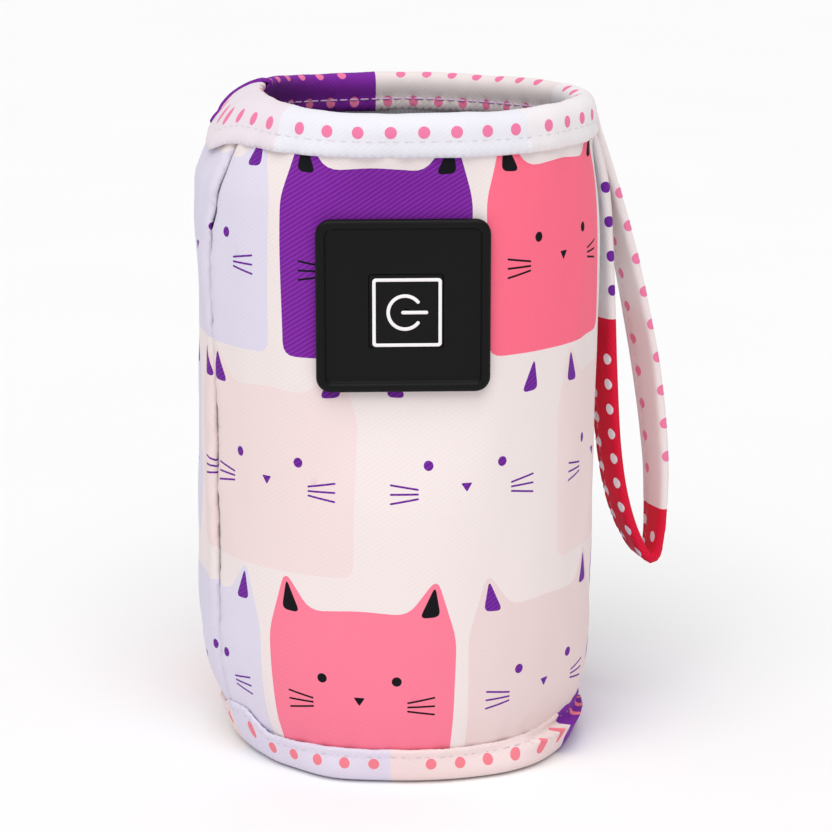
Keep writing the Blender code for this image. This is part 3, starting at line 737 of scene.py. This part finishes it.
def hem_place(s, v):
    """v runs outwards under the base, round the corner and up the wall."""
    arc = HEM_ROUND * math.pi / 2
    turn = np.clip((v - HEM_UNDER) / HEM_ROUND, 0, math.pi / 2)
    swell = TAPE_SWELL(s + 50, v)
    depth = -1.25 + HEM_ROUND * (1 - np.sin(turn)) + np.maximum(0, HEM_UNDER - v)
    z = 0.05 + HEM_ROUND * (1 - np.cos(turn)) + np.maximum(0, v - HEM_UNDER - arc)
    up = ease((v - HEM_UNDER) / 3)
    edge = HEM_WIDE - v
    puff = (0.12 * swell - 0.8 * (1 - ease(edge / 0.9)) - 0.36 * bump(edge, HEM_GROOVE, STITCH_WIDE)
            + 0.18 * np.exp(-edge / 3) * PUCKER(s + 20, v))
    lap = ease((s - (HEM_START + TURN - 0.6)) / 0.8)
    depth = depth - up * (puff + 0.8 * lap)
    z = z + 0.25 * up * np.sin(s / 9.0 + 2) * ease(v / 12)
    # it climbs where the side seam thickens the edge, and at the right it lies in a fold
    z = z + 4.2 * ease((-35 - s) / 9) * ease((s + 63) / 15) * ease((v - HEM_UNDER) / 9)
    turned = ease((s - TURNED_S) / 16) * ease((84 - s) / 14)
    fold = edge - 1.2 - 2.4 * ease((s - TURNED_S) / 36)
    stands = 2.9 * bump(s, 34, 22) + 1.1 * bump(s, -18, 8)
    rises = ease((edge - 1.0) / 5)
    depth = depth - stands * ease(v / 5) * (rises + turned * (ease((fold + 0.1) / 0.9) - rises))
    z = z + 1.6 * ease((s - 34) / 16) * ease((78 - s) / 14) * ease((v - HEM_UNDER) / 9)
    depth = depth + turned * (0.7 * ease(-fold / 0.6) - 0.6 * bump(fold, 0.9, 0.9))
    z = z + turned * 1.6 * bump(fold, 0.9, 0.75)
    return wall(s, z, depth)


HEM = cloth("hem_tape", strip(HEM_START, HEM_START + TURN + HEM_LAP, HEM_WIDE),
            tape_print(HEM_START, TURN + HEM_LAP,
                       ("petal", "lavender", "petal", "purple", "pink", "blue_white"), "coral"),
            hem_place, step=(1.9, 0.5), thick=0.8, slot="binding_tape")
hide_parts("bottom_binding")

# -- stitches along both tapes

THREAD = woven("thread_pale", "e9dfe8", 0.0003, 0.1)
THREAD_SHADE = woven("thread_shade", "d3bfcd", 0.0003, 0.1)
THREAD_LILAC = woven("thread_lilac", "d9b6e0", 0.0003, 0.1)


def round_line(start, v):
    """A line once round a tape, at one v."""
    return [(u, v) for u in np.linspace(start + 1, start + TURN - 1, 120)]


RIM_STITCH = capsule_line(
    "rim_stitching", along(rim_place, round_line(RIM_START, RIM_STITCHED), 2.8, -0.01),
    1.8 * MM, 0.14 * MM, THREAD)
RIM_INNER_STITCH = capsule_line(
    "rim_inner_stitching", along(rim_place, round_line(RIM_START, RIM_STITCHED_INSIDE), 3.0, 0.05),
    2.1 * MM, 0.2 * MM, THREAD_LILAC)
HEM_STITCH = capsule_line(
    "hem_stitching", along(hem_place, round_line(HEM_START, HEM_WIDE - HEM_GROOVE), 2.8, -0.03),
    1.8 * MM, 0.11 * MM, THREAD_SHADE)

# -- the base cloth and the lining

BASE_RADIUS, BASE_EDGE = 31.6, 3
BASE_CUT = BASE_RADIUS + BASE_EDGE


def disc_outline(radius):
    count = 72
    return [(radius * math.cos(2 * math.pi * k / count), radius * math.sin(2 * math.pi * k / count))
            for k in range(count)]


def base_art():
    """Two cats of the pattern under the base."""
    p = Print("cream")
    p.cat("lavender", "violet", -12, -24, 22, 20)
    p.cat("purple", "black", 14, -4, 22, 20)
    return p


def base_place(x, y):
    lift = 0.35 + 0.12 * SWELL(x * 1.5, y * 1.5) + 0.9 * ease((np.hypot(x, y) - BASE_RADIUS + 4) / 4)
    return np.stack((x, y, lift), axis=-1) * MM


BASE = cloth("base_cloth", disc_outline(BASE_CUT), base_art(), base_place, turned=True, thick=0.6)
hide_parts("outer_base_panel")

LINING = woven("lining_weave", "6f6b72", 0.0011, 0.22)
LINING_LOW, LINING_TOP = 7.6, 143.0


def lining_place(u, z):
    """The inner wall, seen from inside; near the rim it comes forward over the foam's edge."""
    s = -u
    step = ease((z - 136.5) / 3.0)
    loose = ease((z - 9) / 8) * (1 - step)
    uneven = np.clip(0.26 * SWELL(s + 200, z) + 0.14 * CREASE(s + 200, z), -0.35, 0.6)
    return wall(s, z, 7.5 - 4.2 * step + uneven * loose)


span = np.linspace(-TURN / 2, TURN / 2, 80)
lining_outline = [(u, LINING_LOW) for u in span] + [(-u, LINING_TOP) for u in span]
INNER = cloth("lining_cloth", lining_outline, Print(LINING), lining_place, step=(2.4, 2.4), thick=0.5,
              slot="lining_cloth")
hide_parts("lining_wall")


def floor_place(x, y):
    r = np.hypot(x, y)
    lift = 7.4 + 0.25 * SWELL(x * 1.3, y * 1.3) + 2.0 * ease((r - 31) / 3.8) ** 2
    return np.stack((x, y, lift), axis=-1) * MM


FLOOR_RADIUS = 34.5
FLOOR = cloth("lining_floor", disc_outline(FLOOR_RADIUS), Print(LINING), floor_place, thick=0.5,
              slot="lining_cloth")
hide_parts("lining_base")

# -- the wrist strap: a folded tape, sewn along its edge, both its ends under the rim tape

OUT = np.array((math.cos(math.radians(12.6)), math.sin(math.radians(12.6)), 0.0))
ACROSS = np.array((-OUT[1], OUT[0], 0.0))
UP = np.array((0.0, 0.0, 1.0))
STRAP_HALF, STRAP_THICK = 5.0, 1.05
STRAP_LINE = (
    (44.3, 142.0), (44.9, 139.0), (46.2, 134.0), (47.4, 128.0), (48.0, 122.0), (48.6, 112.0), (48.9, 104.0),
    (49.2, 94.0), (49.5, 84.0), (50.3, 73.0), (51.4, 63.0), (53.0, 53.5), (55.1, 46.0), (57.6, 40.4),
    (59.8, 37.0), (61.4, 36.0), (62.5, 37.5), (63.1, 42.0), (63.3, 48.0), (63.2, 57.0), (62.6, 64.0),
    (61.6, 73.0), (59.9, 85.0), (57.4, 97.5), (54.7, 109.0), (51.6, 120.0), (49.2, 128.5), (47.3, 134.5),
    (46.1, 139.0), (45.4, 142.0),
)
PATH = np.array(catmull(STRAP_LINE, False, 8))
RUN = np.concatenate(([0], np.cumsum(np.hypot(*np.diff(PATH, axis=0).T))))
FOLD = RUN[int(np.argmin(PATH[:, 1]))]
SIDE_FLAT = 2 * (STRAP_HALF - STRAP_THICK)
GIRTH = 2 * SIDE_FLAT + 2 * math.pi * STRAP_THICK
TWIST = math.radians(15)


def strap_place(p, q):
    """p along the tape from its inner end, q round it: back edge, one face, front edge, other face."""
    p = np.clip(p, 0, RUN[-1])
    u, z = np.interp(p, RUN, PATH[:, 0]), np.interp(p, RUN, PATH[:, 1])
    ahead = np.minimum(p + 0.8, RUN[-1])
    behind = np.maximum(p - 0.8, 0)
    du = np.interp(ahead, RUN, PATH[:, 0]) - np.interp(behind, RUN, PATH[:, 0])
    dz = np.interp(ahead, RUN, PATH[:, 1]) - np.interp(behind, RUN, PATH[:, 1])
    size = np.hypot(du, dz)
    way = (du / size)[:, None] * OUT + (dz / size)[:, None] * UP
    face = np.cross(way, np.broadcast_to(ACROSS, way.shape))
    end = ease(p / 26) * ease((RUN[-1] - p) / 26)
    twist = TWIST * np.tanh((p - FOLD) / 16) * end + 0.05 * np.sin(p / 11)
    wide = ACROSS * np.cos(twist)[:, None] + face * np.sin(twist)[:, None]
    thin = np.cross(wide, way)
    thick = STRAP_THICK * (0.42 + 0.58 * ease(p / 9) * ease((RUN[-1] - p) / 9))
    # round the section
    arc = math.pi * STRAP_THICK
    q = np.mod(q, GIRTH)
    a = np.clip((q - arc / 2 - SIDE_FLAT) / STRAP_THICK, 0, math.pi)
    b = np.clip((q - 1.5 * arc - 2 * SIDE_FLAT) / STRAP_THICK, 0, math.pi / 2)
    c = np.clip(q / STRAP_THICK, 0, math.pi / 2)
    flat = SIDE_FLAT / 2
    x = flat - np.clip(q - arc / 2, 0, SIDE_FLAT) + np.clip(q - 1.5 * arc - SIDE_FLAT, 0, SIDE_FLAT)
    first, second = q < arc / 2, q > 1.5 * arc + 2 * SIDE_FLAT
    cx = x - STRAP_THICK * np.sin(a)
    cy = np.cos(a)
    cx = np.where(first, flat + STRAP_THICK * np.cos(c), cx)
    cy = np.where(first, np.sin(c), cy)
    cx = np.where(second, flat + STRAP_THICK * np.sin(b), cx)
    cy = np.where(second, -np.cos(b), cy)
    # the sewn edge is pressed thinner, the folded one stays full
    press = 1 - 0.40 * np.exp(-(((cx - 3.2) / 0.7) ** 2)) + 0.10 * np.sin(p / 6.5 + cx / 3)
    bow = 0.22 * np.sin(p / 17 + 0.4) * (cx / STRAP_HALF) ** 2
    base = u[:, None] * OUT + z[:, None] * UP
    return (base + wide * cx[:, None] + thin * (cy * thick * press + bow)[:, None]) * MM


def strap_print():
    """Cream tape with a cherry stretch round the fold; p runs along it and q round it."""
    p = Print("cream")
    p.block("red", 0.22 * RUN[-1], -2, 0.56 * RUN[-1], GIRTH + 2, 0.8)
    p.dots("white", 0.25 * RUN[-1], 0.54 * RUN[-1], 3.0, GIRTH, 6.0)
    p.dots("violet", 0.06 * RUN[-1], 0.2 * RUN[-1], 3.0, GIRTH, 8.0)
    p.dots("rose", 0.6 * RUN[-1], 0.94 * RUN[-1], 3.0, GIRTH, 8.0)
    return p


STRAP = cloth("strap_tape", strip(0.0, RUN[-1], GIRTH, 2.0), strap_print(), strap_place, step=(1.7, 1.0),
              thick=0, body=None, slot="strap_cloth")
with editing(STRAP) as bm:
    bmesh.ops.remove_doubles(bm, verts=bm.verts, dist=2e-6)
    bmesh.ops.holes_fill(bm, edges=[e for e in bm.edges if e.is_boundary], sides=0)
    bmesh.ops.recalc_face_normals(bm, faces=bm.faces)
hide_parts("strap_loop", "strap_tab")
span = np.linspace(6, RUN[-1] - 6, 160)
spots = []
for q in (math.pi * STRAP_THICK / 2 + 1.1, GIRTH - math.pi * STRAP_THICK / 2 - 1.1):
    spots += along(strap_place, [(u, q) for u in span], 2.8, -0.03)
STRAP_STITCH = capsule_line("strap_stitching", spots, 1.7 * MM, 0.11 * MM, THREAD_SHADE, None)
for tape in (STRAP, STRAP_STITCH):
    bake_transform(tape)

# -- the control: a silicone pad with a raised lip

def square_ring(half, corner, y, centre):
    """Points of a square with round corners, facing -Y."""
    per, straight, reach = 6, 5, half - corner
    signs = ((1, 1), (-1, 1), (-1, -1), (1, -1))
    points = []
    for k, (side, top) in enumerate(signs):
        cx, cz = reach * side, reach * top
        for i in range(per + 1):
            a = math.pi / 2 * k + math.pi / 2 * i / per
            points.append((cx + corner * math.cos(a), cz + corner * math.sin(a)))
        a = math.pi / 2 * k + math.pi / 2
        side, top = signs[(k + 1) % 4]
        start = np.array(points[-1])
        end = np.array((reach * side + corner * math.cos(a), reach * top + corner * math.sin(a)))
        points += [tuple(start + (end - start) * i / straight) for i in range(1, straight)]
    return [((centre[0] + x) * MM, y * MM, (centre[1] + z) * MM) for x, z in points]


def loft(rings):
    """Points and faces of a skin through the rings, the last joined to the first."""
    count = len(rings[0])
    points = [p for ring in rings for p in ring]
    faces = []
    for j in range(len(rings)):
        a, b = j * count, (j + 1) % len(rings) * count
        for k in range(count):
            k1 = (k + 1) % count
            faces.append((a + k, a + k1, b + k1, b + k))
    return points, faces


SILICONE = moulded("silicone_black", "0a0a0b", (0.42, 0.56), 2600, 0.00003, specular=0.16)
# Half the side, corner radius and y of each ring, from the back edge over the lip to the window.
PAD_RINGS = (
    (17.9, 2.6, -41.3), (18.35, 3.05, -41.45), (18.5, 3.2, -41.8), (18.5, 3.2, -42.6), (18.4, 3.1, -42.9),
    (18.15, 2.9, -43.12), (17.8, 2.55, -43.26), (17.4, 2.2, -43.3), (17.0, 1.8, -43.24), (16.7, 1.55, -43.1),
    (16.5, 1.4, -42.86), (16.38, 1.3, -42.6), (16.2, 1.2, -42.48), (15.9, 1.2, -42.46), (14.5, 1.2, -42.54),
    (12.5, 1.1, -42.72), (10.5, 0.9, -42.84), (9.0, 0.8, -42.88), (8.15, 0.65, -42.88), (7.95, 0.6, -42.82),
    (7.9, 0.55, -42.6), (7.9, 0.55, -41.3),
)
BUTTON_AT = (0.6, 106.5)
WINDOW_HALF = 7.9
rings = []
for half, corner, y in PAD_RINGS:
    # the rings move from the pad's middle to the button's over 8 mm
    t = min(1.0, max(0.0, (half - WINDOW_HALF) / 8.0))
    centre = (BUTTON_AT[0] * (1 - t), PAD_Z * t + BUTTON_AT[1] * (1 - t))
    rings.append(square_ring(half, corner, y, centre))
PAD = outward(piece("control_pad", *loft(rings), [SILICONE], "sleeve", "black_silicone", 50))
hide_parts("silicone_cover")

# -- the button: a plate of the same silicone that fills the window, with its raised pale sign

BUTTON_HALF, BUTTON_FRONT = 7.82, -42.88
SIGN_AT, SIGN_FRONT = (BUTTON_AT[0] + 0.2, BUTTON_AT[1] - 0.3), -42.96


def raised(outline, y, depth, bevel):
    """Points and faces of a raised line: its outline in x and z, pushed forward, its front edge rounded."""
    p = np.array(outline, float)
    way = np.roll(p, -1, axis=0) - np.roll(p, 1, axis=0)
    inward = np.stack((-way[:, 1], way[:, 0]), axis=1) / np.maximum(np.hypot(*way.T), 1e-6)[:, None]
    rings = ((p, y + depth), (p, y + bevel), (p + inward * bevel * 0.4, y + bevel * 0.3),
             (p + inward * bevel, y))
    points = [(x * MM, h * MM, z * MM) for ring, h in rings for x, z in ring]
    n = len(p)
    faces = [(j * n + k, j * n + (k + 1) % n, (j + 1) * n + (k + 1) % n, (j + 1) * n + k)
             for j in range(len(rings) - 1) for k in range(n)]
    return points, faces + [tuple(range(n)), tuple(range(3 * n, 4 * n))]


plate = [square_ring(half, corner, y, BUTTON_AT) for half, corner, y in (
    (0.5, 0.3, -41.5), (7.5, 0.5, -41.5), (BUTTON_HALF, 0.6, -41.6), (BUTTON_HALF, 0.6, BUTTON_FRONT + 0.14),
    (BUTTON_HALF - 0.05, 0.57, BUTTON_FRONT + 0.03), (BUTTON_HALF - 0.16, 0.52, BUTTON_FRONT),
    (5.0, 0.5, BUTTON_FRONT), (0.5, 0.3, BUTTON_FRONT))]
BUTTON = outward(piece("button_pad", *loft(plate), [SILICONE], "button", "black_silicone", 50))
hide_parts("button_face")

ICON_WHITE = moulded("icon_white", "f3eef1", (0.35, 0.5), 2000, 0.00002, 0.0, 0.04, 0.3)
frame_rings = [square_ring(half, corner, y, SIGN_AT) for half, corner, y in (
    (7.34, 0.75, BUTTON_FRONT + 0.1), (7.34, 0.75, SIGN_FRONT + 0.04), (7.28, 0.7, SIGN_FRONT),
    (6.69, 0.3, SIGN_FRONT), (6.63, 0.25, SIGN_FRONT + 0.04), (6.63, 0.25, BUTTON_FRONT + 0.1))]
points, faces = loft(frame_rings)
arc = [(SIGN_AT[0] - 0.45 + 3.55 * math.cos(a), SIGN_AT[1] + 3.55 * math.sin(a))
       for a in np.radians(np.linspace(39, 321, 40))]
bar = [(SIGN_AT[0] - 0.9, SIGN_AT[1]), (SIGN_AT[0] + 2.0, SIGN_AT[1]), (SIGN_AT[0] + 4.1, SIGN_AT[1])]
for line in (arc, bar):
    extra, more = raised(loop_of(stroke(line, 0.74, 1.0), 5.0), SIGN_FRONT, 0.2, 0.05)
    faces = faces + [tuple(k + len(points) for k in f) for f in more]
    points = points + extra
SIGN = outward(piece("button_icon", points, faces, [ICON_WHITE], "button", "white_light_guide", 35))
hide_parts("button_light_guide")

# -- the rubber gland at the back, where the lead would leave

GLAND_Z, GLAND_STEPS = 16.0, 32
gx, gy, gz = wall(TURN / 2, GLAND_Z, 0.0)
# Radius and depth into the wall, for each ring.
GLAND_PROFILE = ((1.0, 2.4), (2.5, 2.4), (2.5, -0.2), (3.3, -0.35), (3.6, -0.7), (3.6, -1.1), (3.2, -1.5),
                 (2.5, -1.8), (2.25, -2.2), (2.1, -2.7), (1.8, -2.85), (1.45, -2.7), (1.35, -2.2), (1.3, 0.5))
rings = [[(gx + r * MM * math.cos(2 * math.pi * k / GLAND_STEPS), gy - d * MM,
           gz + r * MM * math.sin(2 * math.pi * k / GLAND_STEPS)) for k in range(GLAND_STEPS)]
         for r, d in GLAND_PROFILE]
RUBBER = moulded("rubber_gland", "202024", (0.5, 0.65), 1800, 0.00004)
GLAND = outward(piece("cord_gland", *loft(rings), [RUBBER], "sleeve", "grommet_rubber", 50))
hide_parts("lead_grommet")

# ---------------------------------------------------------------- materials of the CAD nodes that stay

NODE_MATERIALS = {
    "insulation_wall": foam("foam_white", "e4e2e0"), "insulation_base": foam("foam_white_base", "e4e2e0"),
    "heater_carrier": woven("carrier_weave", "c9c2b4", 0.0012, 0.15),
    "heating_wire": moulded("wire_sheath", "b4452f", (0.4, 0.6)),
    "thermal_sensor": moulded("sensor_epoxy", "2b2b2e", (0.25, 0.4)),
    "heater_lead_left": moulded("lead_red", "b3211f", (0.4, 0.55)),
    "heater_lead_right": moulded("lead_black", "222225", (0.4, 0.55)),
    "sensor_lead": moulded("lead_white", "d9d9d6", (0.4, 0.55)),
    "supply_lead": moulded("lead_supply", "1d1d20", (0.4, 0.55)),
    "control_housing": moulded("housing_black", "1c1c1f", (0.45, 0.6)),
    "circuit_board": moulded("board_green", "1f5a3a", (0.35, 0.5), 900, 0.00003, 0.0, 0.25),
    "switch_body": moulded("switch_steel", "b9bbbd", (0.25, 0.4), 1200, 0.00002, 0.9, 0.05),
    "switch_plunger": moulded("switch_plastic", "2a2a2c", (0.4, 0.5)),
    "led_top": moulded("led_resin", "eef0ee", (0.2, 0.35)),
    "controller_chip": moulded("chip_resin", "18181a", (0.4, 0.6)),
}
for side in ("bottom", "left", "right"):
    NODE_MATERIALS["led_" + side] = NODE_MATERIALS["led_top"]
NODE_MATERIALS["power_mosfet"] = NODE_MATERIALS["controller_chip"]
for name, mat in NODE_MATERIALS.items():
    for slot in bpy.data.objects[name].material_slots:
        slot.link = "OBJECT"
        slot.material = mat

# ---------------------------------------------------------------- stage, light, camera

def stage_floor():
    size, low = 40.0, -0.0002
    mesh = bpy.data.meshes.new("floor")
    mesh.from_pydata([(-size, -size, low), (size, -size, low), (size, size, low), (-size, size, low)],
                     [], [(0, 1, 2, 3)])
    n = Nodes("floor_pale", roughness=0.9)
    broad = n.noise(n.coordinates(kind="Object"), 6.0, 2.0)
    mesh.materials.append(n.finish(n.blend(broad, (0.93, 0.93, 0.93, 1), (0.95, 0.95, 0.95, 1)),
                                   n.spread(broad, 0.85, 0.95)))
    obj = bpy.data.objects.new("floor", mesh)
    bpy.context.scene.collection.objects.link(obj)


def sun(name, towards, strength, softness):
    """Even light from a direction; softness is how wide the source looks, in degrees."""
    data = bpy.data.lights.new(name, "SUN")
    data.energy, data.angle = strength, math.radians(softness)
    obj = bpy.data.objects.new(name, data)
    obj.rotation_euler = Vector(towards).to_track_quat("Z", "Y").to_euler()
    bpy.context.scene.collection.objects.link(obj)


stage_floor()
sun("key", (-0.09, -0.52, 0.84), 1.85, 55)
world = bpy.data.worlds.new("studio")
world.use_nodes = True
sky = world.node_tree.nodes["Background"].inputs
sky["Color"].default_value, sky["Strength"].default_value = (1.0, 1.0, 1.0, 1.0), 0.56
bpy.context.scene.world = world
bpy.context.scene.view_settings.view_transform = "Standard"

camera = bpy.data.cameras.new("camera")
camera.sensor_width, camera.lens = 36.0, 116.4
view = bpy.data.objects.new("camera", camera)
view.location = (-0.02066, -0.59966, 0.2155)
view.rotation_euler = (math.radians(76.7), 0.0, math.radians(-2.4))
bpy.context.scene.collection.objects.link(view)
bpy.context.scene.camera = view
